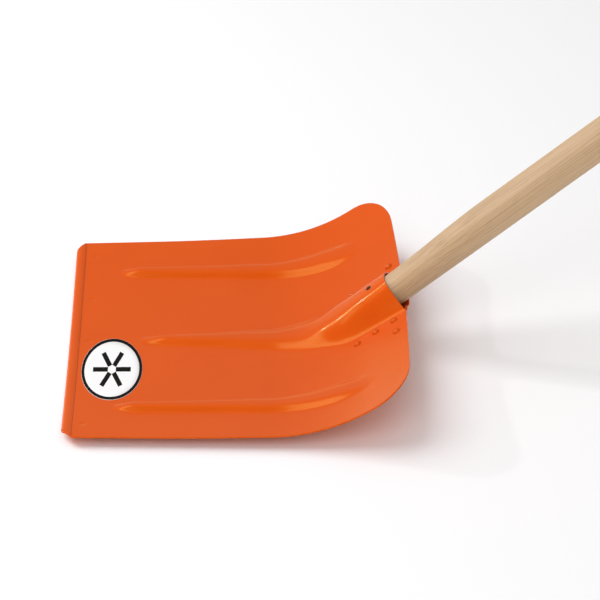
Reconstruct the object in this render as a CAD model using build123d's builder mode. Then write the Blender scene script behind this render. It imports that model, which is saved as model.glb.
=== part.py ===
from build123d import *
import math
import os

os.makedirs("parts", exist_ok=True)

# ---------------------------------------------------------------- driving dimensions (mm)
# +X runs from the cutting edge to the handle, +Z is up, the origin is the middle of the
# cutting edge on the ground.
sheet = 1.5                 # thickness of blade, strip and socket plate
front_width = 400.0         # blade width at the cutting edge
flare = 0.06                # the blade is this much wider at the rear rim
flat_length = 214.6         # flat part of the blade, from the cutting edge
bend_radius = 197.3         # bend from the flat into the rear wall
wall_angle = 33.2           # slope of the rear wall, degrees
blade_length = 376.4        # along the sheet, cutting edge to rear rim
corner_along, corner_across = 42.8, 58.4     # rounded rear corners
dish_radius = 2222.0        # the pan is dished across its width
curl_height, curl_start = 5.4, 89.6          # extra rise of the side edges to the rear
ground_gap = 2 * sheet      # top face of the pan above the ground, at the middle

side_rib_y, side_rib_height = 139.5, 5.0
# half width of the side ribs along the blade
side_rib_widths = [(50.0, 7.0), (85.0, 10.5), (142.0, 12.5), (211.0, 15.5), (290.0, 21.0),
                   (318.0, 18.0), (336.0, 10.0)]
side_rib_rise, side_rib_fall = 22.0, 55.0    # length over which a side rib starts and ends
side_flank = 2.0                             # how square the side rib sections are

centre_rib_start, centre_rib_rise, centre_rib_height = 74.0, 30.0, 5.0
# half width of the centre rib and hump along the blade
hump_widths = [(centre_rib_start, 8.0), (142.0, 14.0), (211.0, 22.0), (271.0, 33.0), (306.0, 42.0),
               (338.0, 39.0), (385.0, 36.0)]
hump_flank = 1.6            # how full the hump section is
crest_blend = 6.0           # softness of the change from rib to hump
hump_lead = 30.0            # the hump may begin this far before the bend
mouth_cut_depth, mouth_cut_half_width = 7.5, 36.0    # the rim is drawn back over the hump

lip_width, leg_width = 11.0, 32.0            # cutting edge, above and below the blade
lip_bulge, nose_round = 0.6, 1.8             # the lip arches up, the nose is rounded
nose_under = (0.5, 0.4)                      # x and z on the nose below the blade
corner_cut_x, corner_cut_y = 11.0, 15.0
ground_flat = 0.15          # worn off the underside of the strip where it stands
fit_gap = 0.1               # paint and play between pressed pieces
head_seat = 2 * fit_gap     # a flat head on a bent sheet touches only at its edge
beyond = 20.0               # how far cutting shapes reach past what they cut
through = 60.0              # reach of cuts up and down through the bent sheets
hole_depth = 14.0

handle_axis_x, handle_axis_z = 350.6, 68.4   # a point on the handle axis
handle_angle = 40.3
handle_radius, neck_radius = 20.0, 17.4
handle_below, handle_above = 70.0, 1240.0    # ends of the handle either side of that point
mouth, neck_end = 8.0, 115.0
neck_chamfer, free_end_round = 3.0, 12.0
neck_shift = handle_radius - neck_radius     # the underside of the neck stays straight

plate_start, plate_end, plate_half_width = 262.0, 377.5, 79.0
trough_half_width, trough_runout = 30.0, 44.0
trough_setback = 3.0        # of the trough from the lower end of the plate
plate_gap = 0.3
flange_short = 2.0          # the flanges end this far inside the rim
rivet_spots = [(315.0, 51.0), (338.0, 46.5), (361.0, 43.5), (362.8, 68.6)]
rivet_head_radius, rivet_head_height, rivet_shank_radius = 4.5, 2.8, 2.4
clench_radius, clench = 3.5, 1.6             # flattened tail of a rivet
screw_spot, screw_head_radius, screw_head_height = 348.0, 3.0, 1.4
screw_radius, screw_length, screw_point = 1.8, 16.0, 2.0
label_x, label_y, label_thickness = 48.0, -60.0, 0.3
label_radius_x, label_radius_y = 32.5, 64.0
# cross sections of the pressed sheets, and points along each
pan_sections, corner_sections, pan_points = 34, 8, 81
plate_sections, plate_points = 20, 41

wall = math.radians(wall_angle)
lean = math.radians(handle_angle)
handle_axis = Vector(math.cos(lean), 0, math.sin(lean))
handle_up = Vector(-math.sin(lean), 0, math.cos(lean))
handle_point = Vector(handle_axis_x, 0, handle_axis_z)


# ---------------------------------------------------------------- shape of the pressed sheet
def smooth(value, start, end):
    """0 before start, 1 after end, with a soft change between."""
    u = min(max((value - start) / (end - start), 0.0), 1.0)
    return u * u * (3 - 2 * u)


def larger(a, b, blend):
    """The larger of two heights, with a rounded change-over."""
    return 0.5 * (a + b + math.sqrt((a - b) ** 2 + blend ** 2))


def swell(y, half_width, flank):
    """Section across a rib: 1 on the crest, 0 at the foot."""
    u = abs(y) / half_width
    return 0.5 * (1 + math.cos(math.pi * u ** flank)) if u < 1 else 0.0


def between(s, stations):
    """Width at length s, changing softly from station to station; 0 outside them."""
    for (s0, w0), (s1, w1) in zip(stations, stations[1:]):
        if s0 <= s <= s1:
            return w0 + (w1 - w0) * smooth(s, s0, s1)
    return 0.0


def spine(s):
    """Middle line of the pan at length s: x, z and slope."""
    turn = min(max((s - flat_length) / bend_radius, 0.0), wall)
    straight = max(s - flat_length - bend_radius * wall, 0.0)
    x = min(s, flat_length) + bend_radius * math.sin(turn) + straight * math.cos(turn)
    z = ground_gap + bend_radius * (1 - math.cos(turn)) + straight * math.sin(turn)
    return x, z, turn


def half_width(s):
    return front_width / 2 * (1 + flare * s / blade_length)


def dish(y):
    return dish_radius - math.sqrt(dish_radius ** 2 - y ** 2)


def plain(s, y):
    """Height of the pan without ribs: dished, sides curled up to the rear."""
    curl = curl_height * smooth(s, curl_start, blade_length) * (2 * y / front_width) ** 2
    return dish(y) + curl


def line_height(s, above_axis):
    """Height over the middle line of a line parallel to the handle axis."""
    x, z, turn = spine(s)
    offset = (Vector(x, 0, z) - handle_point).dot(handle_up)
    return (above_axis - offset) / math.cos(lean - turn)


def side_rib(s, y):
    width = between(s, side_rib_widths)
    if width == 0:
        return 0.0
    start, end = side_rib_widths[0][0], side_rib_widths[-1][0]
    ends = smooth(s, start, start + side_rib_rise) * smooth(-s, -end, side_rib_fall - end)
    return side_rib_height * ends * swell(abs(y) - side_rib_y, width, side_flank)


def hump(s, y):
    """Centre rib, growing into the hump that covers the end of the handle."""
    width = between(s, hump_widths)
    if width == 0:
        return 0.0
    rib = centre_rib_height * smooth(s, centre_rib_start, centre_rib_start + centre_rib_rise)
    over_neck = line_height(s, neck_radius - neck_shift + fit_gap + sheet)
    crest = larger(rib, over_neck, crest_blend) if s > flat_length - hump_lead else rib
    return crest * swell(y, width, hump_flank)


def trough(s, y):
    """Underside of the socket: a half tube below the neck that runs out at its lower end."""
    depth = -line_height(s, -handle_radius - fit_gap)
    lower = plate_start + trough_setback
    full = smooth(s, lower, lower + trough_runout)
    return -depth * full * swell(y, trough_half_width, hump_flank)


def skin(s, y, height):
    """Point at the given height over the middle line, measured square to the sheet."""
    x, z, turn = spine(s)
    return Vector(x - math.sin(turn) * height, y, z + math.cos(turn) * height)


def steps(start, end, count):
    return [start + (end - start) * i / (count - 1) for i in range(count)]


def pressed(lengths, edge, height, count):
    """Pressed sheet, lofted through cross sections square to the middle line."""
    sections = []
    step = 0.2
    for s in lengths:
        across = [edge(s) * v for v in steps(-1, 1, count)]
        top = [skin(s, y, height(s, y)) for y in across]
        slopes = [(height(s, y + step) - height(s, y - step)) / (2 * step) for y in across]
        under = [skin(s, y, height(s, y) - sheet * math.sqrt(1 + slope ** 2))
                 for y, slope in zip(across, slopes)]
        even = steps(0, 1, count)
        sections.append(Wire([Edge.make_spline(top, parameters=even), Edge.make_line(top[-1], under[-1]),
                              Edge.make_spline(under, parameters=even), Edge.make_line(under[0], top[0])]))
    return Solid.make_loft(sections)


def dome(radius, height):
    """Middle point of a round head's profile."""
    ball = (radius ** 2 + height ** 2) / (2 * height)
    angle = math.asin(radius / ball) / 2
    return ball * math.sin(angle), height - ball + ball * math.cos(angle)


def pan_height(s, y):
    return plain(s, y) + side_rib(s, y) + hump(s, y)


def plate_height(s, y):
    return plain(s, y) - sheet - plate_gap + trough(s, y)


def pan_edge(s):
    """Half width of the pan, with its cut front corners and rounded rear corners."""
    cut = corner_cut_y * max(0.0, 1 - s / corner_cut_x)
    into_corner = max(0.0, (s - corner_start) / corner_along)
    return half_width(s) - cut - corner_across * (1 - math.sqrt(max(0.0, 1 - into_corner ** 2)))


def seat(s, y, height):
    """Plane on the sheet at a fastener, its normal pointing out of the pan."""
    step = 0.5
    along = skin(s + step, y, height(s + step, y)) - skin(s - step, y, height(s - step, y))
    across = skin(s, y + step, height(s, y + step)) - skin(s, y - step, height(s, y - step))
    return Plane(origin=skin(s, y, height(s, y)), x_dir=along, z_dir=along.cross(across))


rivet_seats = [seat(s, side * y, plain) for side in (1, -1) for s, y in rivet_spots]
screw_seat = seat(screw_spot, 0, pan_height)

# ---------------------------------------------------------------- blade
corner_start = blade_length - corner_along
corner_lengths = [corner_start + corner_along * math.sin(math.pi / 2 * i / corner_sections)
                  for i in range(1, corner_sections + 1)]
front_lengths = [sheet + fit_gap, 6.0]
pan_lengths = front_lengths + steps(corner_cut_x, corner_start, pan_sections) + corner_lengths

wall_plane = Plane(origin=skin(blade_length, 0, 0), x_dir=(math.cos(wall), 0, math.sin(wall)),
                   z_dir=(-math.sin(wall), 0, math.cos(wall)))

with BuildPart() as blade:
    add(pressed(pan_lengths, pan_edge, pan_height, pan_points))
    # rim drawn back over the hump
    with BuildSketch(wall_plane):
        with BuildLine():
            ThreePointArc((0, -mouth_cut_half_width), (-mouth_cut_depth, 0), (0, mouth_cut_half_width))
            Polyline((0, mouth_cut_half_width), (beyond, mouth_cut_half_width),
                     (beyond, -mouth_cut_half_width), (0, -mouth_cut_half_width))
        make_face()
    extrude(amount=through, both=True, mode=Mode.SUBTRACT)
    with Locations(*rivet_seats):
        Cylinder(rivet_shank_radius + fit_gap, hole_depth, mode=Mode.SUBTRACT)
    with Locations(screw_seat):
        Cylinder(screw_radius + 2 * fit_gap, hole_depth, mode=Mode.SUBTRACT)
blade.part.label = "blade"
export_step(blade.part, "parts/blade.step")

# ---------------------------------------------------------------- cutting edge
dish_axis = Axis((0, 0, dish_radius + ground_gap), (1, 0, 0))
half_arc = math.degrees(math.asin(front_width / 2 / dish_radius))

with BuildPart() as cutting_edge:
    with BuildSketch(Plane.XZ):
        with BuildLine():
            top = ground_gap + fit_gap
            Polyline((leg_width, -ground_flat), (leg_width, sheet - fit_gap), (sheet, sheet - fit_gap),
                     (sheet, top), (lip_width - 1, top), (lip_width, top + lip_bulge))
            Spline((lip_width, top + lip_bulge), (lip_width * 0.45, top + sheet + lip_bulge),
                   (sheet * 0.8, top + sheet * 0.8), (0, ground_gap / 2))
            ThreePointArc((0, ground_gap / 2), nose_under, (nose_round, -ground_flat))
            Line((nose_round, -ground_flat), (leg_width, -ground_flat))
        make_face()
    revolve(axis=dish_axis, revolution_arc=half_arc)
    mirror(about=Plane.XZ)
    # flat on which the edge stands
    with Locations((leg_width / 2, 0, -beyond / 2)):
        Box(2 * leg_width, front_width, beyond, mode=Mode.SUBTRACT)
    with BuildSketch():
        for side in (1, -1):
            corner = front_width / 2
            inner = corner - corner_cut_y * (1 + beyond / corner_cut_x)
            with BuildLine():
                Polyline((-beyond, side * inner), (corner_cut_x, side * corner),
                         (corner_cut_x, side * (corner + beyond)), (-beyond, side * (corner + beyond)),
                         close=True)
            make_face()
    extrude(amount=through, both=True, mode=Mode.SUBTRACT)
cutting_edge.part.label = "cutting_edge"
export_step(cutting_edge.part, "parts/cutting_edge.step")

# ---------------------------------------------------------------- socket plate
with BuildPart() as socket_plate:
    plate_lengths = steps(plate_start, plate_end, plate_sections)
    add(pressed(plate_lengths, lambda s: plate_half_width, plate_height, plate_points))
    # flanges stop short of the rim, only the half tube reaches past it
    with BuildSketch(wall_plane):
        for side in (1, -1):
            with Locations(((beyond - flange_short) / 2, side * (trough_half_width + through / 2))):
                Rectangle(beyond + flange_short, through)
    extrude(amount=through, both=True, mode=Mode.SUBTRACT)
    with Locations(*rivet_seats):
        Cylinder(rivet_shank_radius + fit_gap, hole_depth, mode=Mode.SUBTRACT)
socket_plate.part.label = "socket_plate"
export_step(socket_plate.part, "parts/socket_plate.step")

# ---------------------------------------------------------------- rivets
bulge = dome(rivet_head_radius, rivet_head_height)

for index, place in enumerate(rivet_seats, start=1):
    with BuildPart() as rivet:
        with BuildSketch(Plane.XZ):
            with BuildLine():
                tail = -2 * sheet - plate_gap - fit_gap
                Polyline((0, head_seat + rivet_head_height), (0, tail - clench),
                         (clench_radius, tail - clench), (clench_radius, tail),
                         (rivet_shank_radius, tail), (rivet_shank_radius, head_seat),
                         (rivet_head_radius, head_seat))
                ThreePointArc((rivet_head_radius, head_seat), (bulge[0], head_seat + bulge[1]),
                              (0, head_seat + rivet_head_height))
            make_face()
        revolve(axis=Axis.Z)
    rivet.part.locate(place.location)
    rivet.part.label = f"rivet_{index}"
    export_step(rivet.part, f"parts/rivet_{index}.step")

# ---------------------------------------------------------------- handle
shaft_plane = Plane(origin=handle_point, x_dir=handle_up, z_dir=handle_axis)

with BuildPart() as handle:
    with BuildSketch(shaft_plane.offset(neck_end)):
        Circle(handle_radius)
    extrude(amount=handle_above - neck_end)
    fillet(handle.edges().sort_by(Axis(handle_point, handle_axis))[-1], radius=free_end_round)
    with BuildSketch(shaft_plane.offset(mouth)):
        with Locations((-neck_shift, 0)):
            Circle(neck_radius)
    with BuildSketch(shaft_plane.offset(neck_end)):
        Circle(handle_radius)
    loft()
    with BuildSketch(shaft_plane.offset(-handle_below)):
        with Locations((-neck_shift, 0)):
            Circle(neck_radius)
    extrude(amount=handle_below + mouth)
    chamfer(handle.edges().sort_by(Axis(handle_point, handle_axis))[0], length=neck_chamfer)
    with Locations(screw_seat):
        Cylinder(screw_radius, 2 * screw_length, mode=Mode.SUBTRACT)
handle.part.label = "handle"
export_step(handle.part, "parts/handle.step")

# ---------------------------------------------------------------- handle screw
bulge = dome(screw_head_radius, screw_head_height)

with BuildPart() as handle_screw:
    with BuildSketch(Plane.XZ):
        with BuildLine():
            Polyline((0, head_seat + screw_head_height), (0, -screw_length),
                     (screw_radius, screw_point - screw_length), (screw_radius, head_seat),
                     (screw_head_radius, head_seat))
            ThreePointArc((screw_head_radius, head_seat), (bulge[0], head_seat + bulge[1]),
                          (0, head_seat + screw_head_height))
        make_face()
    revolve(axis=Axis.Z)
handle_screw.part.locate(screw_seat.location)
handle_screw.part.label = "handle_screw"
export_step(handle_screw.part, "parts/handle_screw.step")

# ---------------------------------------------------------------- label
label_arc = 2 * math.degrees(math.asin((label_radius_y - label_y) / dish_radius))

with BuildPart() as label:
    with BuildSketch(Plane.XZ):
        with Locations((label_x, ground_gap + label_thickness / 2 + fit_gap)):
            Rectangle(2 * label_radius_x + 2, label_thickness)
    revolve(axis=dish_axis, revolution_arc=label_arc)
    mirror(about=Plane.XZ)
    with BuildSketch():
        with Locations((label_x, label_y)):
            Ellipse(label_radius_x, label_radius_y)
    extrude(amount=through, both=True, mode=Mode.INTERSECT)
label.part.label = "label"
export_step(label.part, "parts/label.step")
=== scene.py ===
import math

import bpy
import numpy as np
from mathutils import Matrix, Vector


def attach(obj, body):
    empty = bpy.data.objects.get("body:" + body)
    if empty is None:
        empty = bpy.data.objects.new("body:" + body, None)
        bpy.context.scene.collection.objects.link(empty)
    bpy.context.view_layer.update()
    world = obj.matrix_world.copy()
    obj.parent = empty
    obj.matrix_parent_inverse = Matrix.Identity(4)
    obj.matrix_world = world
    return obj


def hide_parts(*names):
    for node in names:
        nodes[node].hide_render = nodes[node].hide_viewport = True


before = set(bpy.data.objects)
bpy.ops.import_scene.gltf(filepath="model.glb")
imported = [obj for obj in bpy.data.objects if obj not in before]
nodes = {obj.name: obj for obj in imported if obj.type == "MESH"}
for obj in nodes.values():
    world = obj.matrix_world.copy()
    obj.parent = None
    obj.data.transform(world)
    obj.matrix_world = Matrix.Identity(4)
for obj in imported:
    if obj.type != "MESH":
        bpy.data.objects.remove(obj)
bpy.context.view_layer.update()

# ------------------------------------------------------------------ the pressed pan (metres)
SHEET, PLAY = 0.0015, 0.0001
HALF_FRONT, FLARE = 0.200, 0.06
FLAT, BEND, WALL, LENGTH = 0.2146, 0.1973, math.radians(33.2), 0.3764
CORNER_ALONG, CORNER_ACROSS = 0.0428, 0.0584
DISH = 2.222
CURL, CURL_START = 0.0054, 0.0896
TOP = 2 * SHEET
RIB_Y, RIB_HEIGHT, RIB_RISE, RIB_FALL = 0.1395, 0.005, 0.022, 0.055
RIB_AT = (0.050, 0.085, 0.142, 0.211, 0.290, 0.318, 0.336)
RIB_WIDTHS = (0.007, 0.0105, 0.0125, 0.0155, 0.021, 0.018, 0.010)
HUMP_RIB, HUMP_RISE, HUMP_LEAD, CREST_BLEND = 0.005, 0.03, 0.03, 0.006
HUMP_AT = (0.074, 0.142, 0.211, 0.271, 0.306, 0.338, 0.385)
HUMP_WIDTHS = (0.008, 0.014, 0.022, 0.033, 0.042, 0.039, 0.036)
RIB_FLANK, HUMP_FLANK = 2.0, 1.6
MOUTH_CUT, MOUTH_CUT_HALF = 0.0075, 0.036
PLATE_START, PLATE_END, PLATE_HALF, PLATE_GAP = 0.262, 0.3775, 0.079, 0.0003
TROUGH_SETBACK, TROUGH_RUNOUT, TROUGH_HALF = 0.003, 0.044, 0.030
FLANGE_SHORT = 0.002
LIP, LEG = 0.011, 0.032
CUT_X, CUT_Y = 0.011, 0.015
WELD_X = 0.022
WELDS = (-0.173, -0.0865, 0.0, 0.0865, 0.173)

HANDLE_POINT = Vector((0.3506, 0, 0.0684))
LEAN = math.radians(40.3)
HANDLE_AXIS = Vector((math.cos(LEAN), 0, math.sin(LEAN)))
HANDLE_UP = Vector((-math.sin(LEAN), 0, math.cos(LEAN)))
SHAFT_R, NECK_R = 0.020, 0.0174
HANDLE_LOW, MOUTH, NECK_END, HANDLE_TOP = -0.070, 0.008, 0.115, 1.240


def smooth(v, start, end):
    u = np.clip((v - start) / (end - start), 0, 1)
    return u * u * (3 - 2 * u)


def swell(y, width, flank):
    u = np.minimum(np.abs(y) / width, 1)
    return 0.5 * (1 + np.cos(np.pi * u ** flank))


def between(s, stations, widths):
    width = np.full_like(s, widths[0])
    for s0, s1, w0, w1 in zip(stations, stations[1:], widths, widths[1:]):
        width = width + (w1 - w0) * smooth(s, s0, s1)
    return width


def spine(s):
    turn = np.clip((s - FLAT) / BEND, 0, WALL)
    straight = np.maximum(s - FLAT - BEND * WALL, 0)
    x = np.minimum(s, FLAT) + BEND * np.sin(turn) + straight * np.cos(turn)
    z = TOP + BEND * (1 - np.cos(turn)) + straight * np.sin(turn)
    return x, z, turn


def plain(s, y):
    curl = CURL * smooth(s, CURL_START, LENGTH) * (y / HALF_FRONT) ** 2
    return DISH - np.sqrt(DISH ** 2 - y ** 2) + curl


def line_height(s, above_axis):
    """Height over the middle line of a line parallel to the handle axis."""
    x, z, turn = spine(s)
    offset = (x - HANDLE_POINT.x) * HANDLE_UP.x + (z - HANDLE_POINT.z) * HANDLE_UP.z
    return (above_axis - offset) / np.cos(LEAN - turn)


def side_rib(s, y):
    start, end = RIB_AT[0], RIB_AT[-1]
    ends = smooth(s, start, start + RIB_RISE) * smooth(-s, -end, RIB_FALL - end)
    return RIB_HEIGHT * ends * swell(np.abs(y) - RIB_Y, between(s, RIB_AT, RIB_WIDTHS), RIB_FLANK)


def hump(s, y):
    rib = HUMP_RIB * smooth(s, HUMP_AT[0], HUMP_AT[0] + HUMP_RISE)
    over_neck = line_height(s, 2 * NECK_R - SHAFT_R + PLAY + SHEET)
    larger = 0.5 * (rib + over_neck + np.sqrt((rib - over_neck) ** 2 + CREST_BLEND ** 2))
    crest = np.where(s > FLAT - HUMP_LEAD, larger, rib)
    return crest * swell(y, between(s, HUMP_AT, HUMP_WIDTHS), HUMP_FLANK)


def weld_marks(s, y):
    """Height of the shallow dimples left by the spot welds, each with a faint raised rim."""
    dimple, bottom_radius, top_radius = 0.0005, 0.0020, 0.0046
    rim, rim_radius, rim_width = 0.0002, 0.0054, 0.0012
    height = np.zeros_like(s)
    for at in WELDS:
        r = np.sqrt((s - WELD_X) ** 2 + (y - at) ** 2)
        height -= dimple * (1 - smooth(r, bottom_radius, top_radius))
        height += rim * np.exp(-((r - rim_radius) / rim_width) ** 2)
    return height


def pan_height(s, y):
    return plain(s, y) + side_rib(s, y) + hump(s, y) + weld_marks(s, y)


def plate_height(s, y):
    """Flanges under the pan, with a half tube below the neck of the handle."""
    lower = PLATE_START + TROUGH_SETBACK
    depth = -line_height(s, -SHAFT_R - PLAY) * smooth(s, lower, lower + TROUGH_RUNOUT)
    return plain(s, y) - SHEET - PLATE_GAP - depth * swell(y, TROUGH_HALF, HUMP_FLANK)


def pan_edge(s):
    cut = CUT_Y * np.maximum(0, 1 - s / CUT_X)
    into = np.clip((s - (LENGTH - CORNER_ALONG)) / CORNER_ALONG, 0, 1)
    return HALF_FRONT * (1 + FLARE * s / LENGTH) - cut - CORNER_ACROSS * (1 - np.sqrt(1 - into ** 2))


def skin(s, y, height):
    x, z, turn = spine(s)
    return np.stack([x - np.sin(turn) * height, y, z + np.cos(turn) * height], -1)


# ------------------------------------------------------------------ mesh helpers
def mesh_object(name, points, faces, material, node=None):
    mesh = bpy.data.meshes.new(name)
    mesh.from_pydata([tuple(p) for p in points], [], faces)
    mesh.validate()
    for polygon in mesh.polygons:
        polygon.use_smooth = True
    mesh.materials.append(material)
    piece = bpy.data.objects.new(name, mesh)
    bpy.context.scene.collection.objects.link(piece)
    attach(piece, "root")
    if node:
        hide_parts(node)
    return piece


def grid_faces(rows, columns, closed=False):
    wrap = columns if closed else columns - 1
    return [(i * columns + j, (i + 1) * columns + j,
             (i + 1) * columns + (j + 1) % columns, i * columns + (j + 1) % columns)
            for i in range(rows - 1) for j in range(wrap)]


def sheet_metal(piece):
    """Thickness below the drawn face, with softened edges."""
    solid = piece.modifiers.new("thickness", "SOLIDIFY")
    solid.thickness = SHEET
    solid.offset = -1
    solid.use_even_offset = True
    round_off = piece.modifiers.new("edges", "BEVEL")
    round_off.width = 0.0004
    round_off.segments = 2
    round_off.limit_method = "ANGLE"
    round_off.angle_limit = math.radians(50)


# ------------------------------------------------------------------ materials
def new_material(name):
    material = bpy.data.materials.new(name)
    material.use_nodes = True
    tree = material.node_tree
    return material, tree, tree.nodes["Principled BSDF"]


def node(tree, kind, **settings):
    made = tree.nodes.new(kind)
    for key, value in settings.items():
        if key in made.inputs:
            made.inputs[key].default_value = value
        else:
            setattr(made, key, value)
    return made


def ramp(tree, stops):
    made = tree.nodes.new("ShaderNodeValToRGB")
    elements = made.color_ramp.elements
    while len(elements) < len(stops):
        elements.new(0.5)
    for element, (at, colour) in zip(elements, stops):
        element.position = at
        element.color = (*colour, 1)
    return made


def enamel(name, base=(0.71, 0.086, 0.004), darker=(0.69, 0.080, 0.003)):
    """Glossy stoved paint on pressed sheet: slight unevenness, orange peel and slightly varying gloss.
    """
    material, tree, shader = new_material(name)
    link = tree.links.new
    place = node(tree, "ShaderNodeTexCoord")
    patches = node(tree, "ShaderNodeTexNoise", Scale=14.0, Detail=3.0)
    tint = ramp(tree, [(0.3, darker), (0.7, base)])
    peel = node(tree, "ShaderNodeTexNoise", Scale=420.0, Detail=1.0)
    sheen = node(tree, "ShaderNodeTexNoise", Scale=35.0, Detail=4.0)
    gloss = node(tree, "ShaderNodeMapRange")
    gloss.inputs["To Min"].default_value = 0.23
    gloss.inputs["To Max"].default_value = 0.27
    bump = node(tree, "ShaderNodeBump", Strength=0.10, Distance=0.0002)
    for texture in (patches, peel, sheen):
        link(place.outputs["Object"], texture.inputs["Vector"])
    link(patches.outputs["Fac"], tint.inputs["Fac"])
    link(tint.outputs["Color"], shader.inputs["Base Color"])
    link(sheen.outputs["Fac"], gloss.inputs["Value"])
    link(gloss.outputs["Result"], shader.inputs["Roughness"])
    link(peel.outputs["Fac"], bump.inputs["Height"])
    link(bump.outputs["Normal"], shader.inputs["Normal"])
    shader.inputs["Specular Tint"].default_value = (1.0, 0.90, 0.10, 1)
    shader.inputs["Specular IOR Level"].default_value = 0.32
    shader.inputs["Coat Weight"].default_value = 0.07
    shader.inputs["Coat Roughness"].default_value = 0.06
    return material


def wood(name):
    """Pale turned ash: long grain lines, fine pores and soft colour bands along the handle."""
    material, tree, shader = new_material(name)
    link = tree.links.new
    place = node(tree, "ShaderNodeTexCoord")
    # turns the object's coordinates so that X runs along the handle, then stretches along it
    along = node(tree, "ShaderNodeMapping", vector_type="POINT")
    along.inputs["Rotation"].default_value = (0, LEAN, 0)
    link(place.outputs["Object"], along.inputs["Vector"])

    def stretched(lengthwise, crosswise):
        made = node(tree, "ShaderNodeMapping", vector_type="POINT")
        made.inputs["Scale"].default_value = (lengthwise, crosswise, crosswise)
        link(along.outputs["Vector"], made.inputs["Vector"])
        return made

    bands = node(tree, "ShaderNodeTexNoise", Scale=1.0, Detail=3.0, Distortion=0.6)
    link(stretched(1.6, 150).outputs["Vector"], bands.inputs["Vector"])
    grain = node(tree, "ShaderNodeTexNoise", Scale=1.0, Detail=6.0, Roughness=0.65)
    link(stretched(7, 700).outputs["Vector"], grain.inputs["Vector"])
    pores = node(tree, "ShaderNodeTexNoise", Scale=1.0, Detail=2.0)
    link(stretched(55, 1500).outputs["Vector"], pores.inputs["Vector"])
    band_tint = ramp(tree, [(0.3, (0.55, 0.375, 0.225)), (0.55, (0.58, 0.40, 0.24)),
                            (0.8, (0.61, 0.43, 0.265))])
    link(bands.outputs["Fac"], band_tint.inputs["Fac"])
    grain_tint = ramp(tree, [(0.36, (0.74, 0.70, 0.64)), (0.56, (1, 1, 1))])
    link(grain.outputs["Fac"], grain_tint.inputs["Fac"])
    pore_tint = ramp(tree, [(0.28, (0.7, 0.62, 0.52)), (0.38, (1, 1, 1))])
    link(pores.outputs["Fac"], pore_tint.inputs["Fac"])
    first = node(tree, "ShaderNodeMix", data_type="RGBA", blend_type="MULTIPLY")
    second = node(tree, "ShaderNodeMix", data_type="RGBA", blend_type="MULTIPLY")
    first.inputs[0].default_value = 0.85
    second.inputs[0].default_value = 0.6
    link(band_tint.outputs["Color"], first.inputs[6])
    link(grain_tint.outputs["Color"], first.inputs[7])
    link(first.outputs[2], second.inputs[6])
    link(pore_tint.outputs["Color"], second.inputs[7])
    link(second.outputs[2], shader.inputs["Base Color"])
    bump = node(tree, "ShaderNodeBump", Strength=0.25, Distance=0.0003)
    link(grain.outputs["Fac"], bump.inputs["Height"])
    link(bump.outputs["Normal"], shader.inputs["Normal"])
    shader.inputs["Roughness"].default_value = 0.52
    return material


def dark_steel(name):
    material, tree, shader = new_material(name)
    link = tree.links.new
    place = node(tree, "ShaderNodeTexCoord")
    stain = node(tree, "ShaderNodeTexNoise", Scale=900.0, Detail=4.0)
    tint = ramp(tree, [(0.35, (0.02, 0.016, 0.014)), (0.7, (0.07, 0.05, 0.04))])
    bump = node(tree, "ShaderNodeBump", Strength=0.3, Distance=0.0001)
    link(place.outputs["Object"], stain.inputs["Vector"])
    link(stain.outputs["Fac"], tint.inputs["Fac"])
    link(tint.outputs["Color"], shader.inputs["Base Color"])
    link(stain.outputs["Fac"], bump.inputs["Height"])
    link(bump.outputs["Normal"], shader.inputs["Normal"])
    shader.inputs["Metallic"].default_value = 0.8
    shader.inputs["Roughness"].default_value = 0.5
    return material


def vinyl(name, shade, shine=0.25):
    """Printed vinyl of one shade of grey."""
    material, tree, shader = new_material(name)
    link = tree.links.new
    place = node(tree, "ShaderNodeTexCoord")
    grit = node(tree, "ShaderNodeTexNoise", Scale=1200.0, Detail=2.0)
    bump = node(tree, "ShaderNodeBump", Strength=0.05, Distance=0.0001)
    link(place.outputs["Object"], grit.inputs["Vector"])
    link(grit.outputs["Fac"], bump.inputs["Height"])
    link(bump.outputs["Normal"], shader.inputs["Normal"])
    shader.inputs["Base Color"].default_value = (shade, shade, shade, 1)
    shader.inputs["Roughness"].default_value = 0.4
    shader.inputs["Specular IOR Level"].default_value = shine
    return material


paint = enamel("orange_enamel")
paint_edge = enamel("orange_enamel_edge")
# the socket plate gets a slightly darker copy of the orange enamel: painted shade
paint_back_shaded = enamel("orange_enamel_socket_painted_shade", (0.69, 0.081, 0.004), (0.66, 0.072, 0.003))

# ------------------------------------------------------------------ blade
FRONT_ROWS = [SHEET + PLAY, 0.004, 0.0075]
MIDDLE_ROWS, CORNER_ROWS, COLUMNS = 180, 25, 281
RIM_FADE = 0.05
round_corner = np.sin(np.linspace(0, math.pi / 2, CORNER_ROWS + 1)[1:])
rows = np.concatenate([FRONT_ROWS, np.linspace(CUT_X, LENGTH - CORNER_ALONG, MIDDLE_ROWS),
                       LENGTH - CORNER_ALONG * (1 - round_corner)])
across = np.linspace(-1, 1, COLUMNS)
S = np.repeat(rows[:, None], len(across), 1)
Y = pan_edge(S) * across
# the rim is drawn back over the hump: the last rows close up towards it
drawn = MOUTH_CUT * np.maximum(0, 1 - (Y / MOUTH_CUT_HALF) ** 2)
S = S - drawn * smooth(S, LENGTH - RIM_FADE, LENGTH)
points = skin(S, Y, pan_height(S, Y)).reshape(-1, 3)
blade = mesh_object("blade_pressed", points, grid_faces(len(rows), len(across)), paint,
                    "blade")
sheet_metal(blade)

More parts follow.
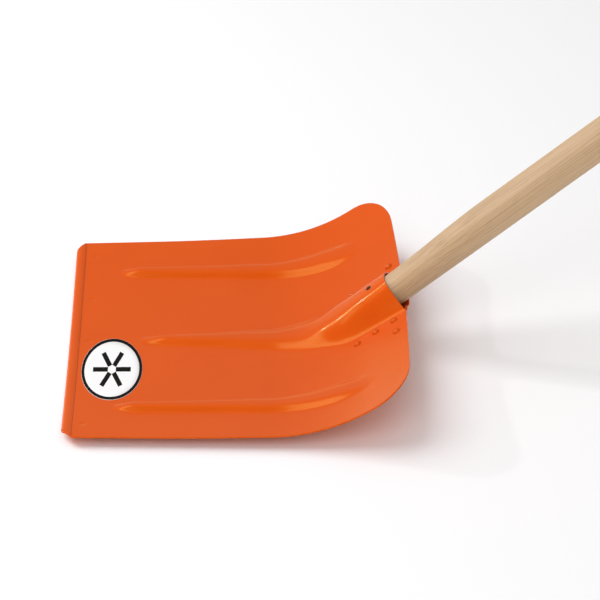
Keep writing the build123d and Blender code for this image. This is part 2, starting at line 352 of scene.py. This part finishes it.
# ------------------------------------------------------------------ cutting edge
# section of the folded strip, from inside the lip round the nose to the end of the leg
section = [(0.0016, 0.0014), (0.0016, 0.0031), (0.0100, 0.0031), (LIP, 0.00295), (0.0109, 0.0035),
           (0.0104, 0.0040), (0.0090, 0.0047), (0.0070, 0.0052), (0.0050, 0.0053), (0.0030, 0.0050),
           (0.0014, 0.0042), (0.0004, 0.0030), (0.0, 0.0015), (0.0006, 0.0004), (0.0018, -0.00015),
           (LEG, -0.00015), (LEG, 0.0014)]
STATIONS = 161
points = []
for v in np.linspace(-1, 1, STATIONS):
    for x, z in section:
        reach = HALF_FRONT - CUT_Y * max(0.0, 1 - x / CUT_X)
        y = v * reach
        points.append((x, y, max(0.0, z + DISH - math.sqrt(DISH ** 2 - y ** 2))))
faces = grid_faces(STATIONS, len(section), closed=True)
faces += [tuple(range(len(section))), tuple(range(len(points) - 1, len(points) - len(section) - 1, -1))]
edge = mesh_object("cutting_edge_strip", points, faces, paint_edge, "cutting_edge")
edge.modifiers.new("edges", "EDGE_SPLIT").split_angle = math.radians(40)

# ------------------------------------------------------------------ socket plate
PLATE_ROWS, PLATE_COLUMNS = 90, 121
points = []
for s in np.linspace(PLATE_START, PLATE_END, PLATE_ROWS):
    # only the half tube reaches past the rim
    reach = PLATE_HALF if s < LENGTH - FLANGE_SHORT else TROUGH_HALF
    y = np.linspace(-reach, reach, PLATE_COLUMNS)
    s = np.full(PLATE_COLUMNS, s)
    points += list(skin(s, y, plate_height(s, y)))
socket = mesh_object("socket_plate_pressed", points, grid_faces(PLATE_ROWS, PLATE_COLUMNS), paint_back_shaded,
                     "socket_plate")
sheet_metal(socket)


# ------------------------------------------------------------------ handle
def shaft_ring(at):
    """Radius and downward shift of the handle at a distance along its axis."""
    grow = float(smooth(np.float64(at), MOUTH - 0.01, NECK_END + 0.02))
    radius = NECK_R + (SHAFT_R - NECK_R) * grow
    return radius, SHAFT_R - radius


# places along the axis, and the part of the full radius there: end face, neck, shaft, round end
END_ROUND = 0.012
profile = [(HANDLE_LOW, 0.0), (HANDLE_LOW, 0.8), (HANDLE_LOW + 0.003, 1.0)]
profile += [(at, 1.0) for at in np.linspace(HANDLE_LOW + 0.008, 0.14, 30)]
profile += [(at, 1.0) for at in np.linspace(0.18, HANDLE_TOP - END_ROUND, 30)]
profile += [(HANDLE_TOP - END_ROUND * (1 - math.sin(t)), 1 - 0.6 * (1 - math.cos(t)))
            for t in np.linspace(0, math.pi / 2, 10)[1:]] + [(HANDLE_TOP, 0.0)]
SIDES = 96
points = []
for at, scale in profile:
    radius, shift = shaft_ring(at)
    middle = HANDLE_POINT + HANDLE_AXIS * at - HANDLE_UP * shift
    for k in range(SIDES):
        turn = 2 * math.pi * k / SIDES
        outward = HANDLE_UP * math.cos(turn) + Vector((0, 1, 0)) * math.sin(turn)
        points.append(middle + outward * radius * scale)
mesh_object("handle_turned", points, grid_faces(len(profile), SIDES, closed=True), wood("ash_wood"),
            "handle")

# ------------------------------------------------------------------ label
LABEL_X, LABEL_Y, LABEL_RX, LABEL_RY, LABEL_T = 0.048, -0.060, 0.0325, 0.064, 0.0003
INK = 0.00005               # height of the print over the vinyl
ROUND = 96                  # points on a circle


def on_pan(u, v, lift):
    """Point over the dished pan, from a place on the unit circle of the label."""
    x, y = LABEL_X + u * LABEL_RX, LABEL_Y + v * LABEL_RY
    return x, y, TOP + DISH - math.sqrt(DISH ** 2 - y ** 2) + lift


def circle(radius):
    turns = [2 * math.pi * k / ROUND for k in range(ROUND)]
    return [(radius * math.cos(turn), radius * math.sin(turn)) for turn in turns]


def printed(name, corners, material):
    """Flat printed shape on the label, given by its corners on the unit circle."""
    points = [on_pan(u, v, LABEL_T + INK) for u, v in corners]
    return mesh_object(name, points, [tuple(range(len(corners)))], material)


white = vinyl("label_white", 0.91)
black = vinyl("label_black", 0.002, 0.08)

sizes = (0.25, 0.5, 0.75, 1.0)
points = [on_pan(u, v, LABEL_T) for size in sizes for u, v in circle(size)]
faces = grid_faces(len(sizes), ROUND, closed=True) + [tuple(range(ROUND))]
face = mesh_object("label_face", points, faces, white, "label")
thickness = face.modifiers.new("thickness", "SOLIDIFY")
thickness.thickness = LABEL_T
thickness.offset = -1

ring = (0.90, 0.995)
points = [on_pan(u, v, LABEL_T + INK) for size in ring for u, v in circle(size)]
mesh_object("label_ring", points, grid_faces(len(ring), ROUND, closed=True), black)
# a plain star of six arms
ARMS, ARM_START, ARM_LENGTH, ARM_HALF = 6, 0.13, 0.62, 0.075
for index in range(ARMS):
    turn = 2 * math.pi * index / ARMS
    along, side = (math.cos(turn), math.sin(turn)), (-math.sin(turn), math.cos(turn))
    corners = [(reach * along[0] + half * side[0], reach * along[1] + half * side[1])
               for reach, half in ((ARM_START, -ARM_HALF), (ARM_LENGTH, -ARM_HALF),
                                   (ARM_LENGTH, ARM_HALF), (ARM_START, ARM_HALF))]
    printed(f"label_arm_{index + 1}", corners, black)

# ------------------------------------------------------------------ CAD pieces that stay
# the rivets get a slightly darker copy of the orange enamel: painted shade
rivet_paint_shaded = enamel("orange_enamel_rivet_painted_shade", (0.68, 0.078, 0.004), (0.64, 0.068, 0.003))
kept = {f"rivet_{index}": rivet_paint_shaded for index in range(1, 9)}
kept["handle_screw"] = dark_steel("dark_screw_steel")
for name, material in kept.items():
    for place in nodes[name].material_slots:
        place.material = material

# ------------------------------------------------------------------ floor, lights, camera
floor_material, tree, shader = new_material("floor_paper")
shader.inputs["Base Color"].default_value = (0.97, 0.97, 0.97, 1)
shader.inputs["Roughness"].default_value = 0.9
FLOOR_REACH, FLOOR_Z = 30, -0.0008
corners = [(x * FLOOR_REACH, y * FLOOR_REACH, FLOOR_Z) for x, y in ((-1, -1), (1, -1), (1, 1), (-1, 1))]
mesh = bpy.data.meshes.new("floor")
mesh.from_pydata(corners, [], [(0, 1, 2, 3)])
mesh.materials.append(floor_material)
floor = bpy.data.objects.new("floor", mesh)
bpy.context.scene.collection.objects.link(floor)

world = bpy.data.worlds.new("studio")
bpy.context.scene.world = world
world.use_nodes = True
sky = world.node_tree
look = node(sky, "ShaderNodeTexCoord")
part_up = node(sky, "ShaderNodeSeparateXYZ")
# slightly warm low reflectors all round, dimmer above
brightness = ramp(sky, [(0.0, (1.0, 0.88, 0.50)), (0.10, (0.92, 0.79, 0.42)), (0.30, (0.42, 0.41, 0.37)),
                        (0.7, (0.46, 0.46, 0.48)), (1.0, (0.52, 0.52, 0.54))])
sky.links.new(look.outputs["Generated"], part_up.inputs["Vector"])
sky.links.new(part_up.outputs["Z"], brightness.inputs["Fac"])
sky.links.new(brightness.outputs["Color"], sky.nodes["Background"].inputs["Color"])


def softbox(name, at, towards, width, height, power, colour=(1, 1, 1)):
    light = bpy.data.lights.new(name, "AREA")
    light.shape = "RECTANGLE"
    light.size, light.size_y = width, height
    light.energy = power
    light.color = colour
    holder = bpy.data.objects.new(name, light)
    holder.location = at
    holder.rotation_euler = (Vector(towards) - Vector(at)).to_track_quat("-Z", "Y").to_euler()
    bpy.context.scene.collection.objects.link(holder)


softbox("key", (-1.6, 0.3, 3.0), (0.2, 0, 0), 2.4, 2.4, 64, (1.0, 1.0, 1.03))
softbox("fill", (-0.6, -3.6, 3.5), (0.2, 0, 0), 3.0, 3.0, 56, (1.0, 1.0, 1.05))
softbox("glint", (-2.07, 1.1, 1.56), (0.3, 0, 0.06), 0.2, 0.08, 10)

azimuth, elevation, roll = math.radians(-2.24), math.radians(30.7), math.radians(0.87)
back = Vector((math.sin(azimuth) * math.cos(elevation), -math.cos(azimuth) * math.cos(elevation),
               math.sin(elevation)))
right = Vector((math.cos(azimuth), math.sin(azimuth), 0))
up = back.cross(right)
right, up = right * math.cos(roll) + up * math.sin(roll), up * math.cos(roll) - right * math.sin(roll)
camera_data = bpy.data.cameras.new("camera")
camera_data.lens = 151.7
camera_data.sensor_width = 36.0
camera_data.clip_end = 100
camera = bpy.data.objects.new("camera", camera_data)
aim_right, aim_up, distance = 0.25083, 0.04464, 2.75164
position = right * aim_right + up * aim_up + back * distance + Vector((0, 0, TOP))
camera.matrix_world = Matrix.Translation(position) @ Matrix((right, up, back)).transposed().to_4x4()
bpy.context.scene.collection.objects.link(camera)
bpy.context.scene.camera = camera
bpy.context.scene.view_settings.view_transform = "Standard"

bpy.context.view_layer.update()
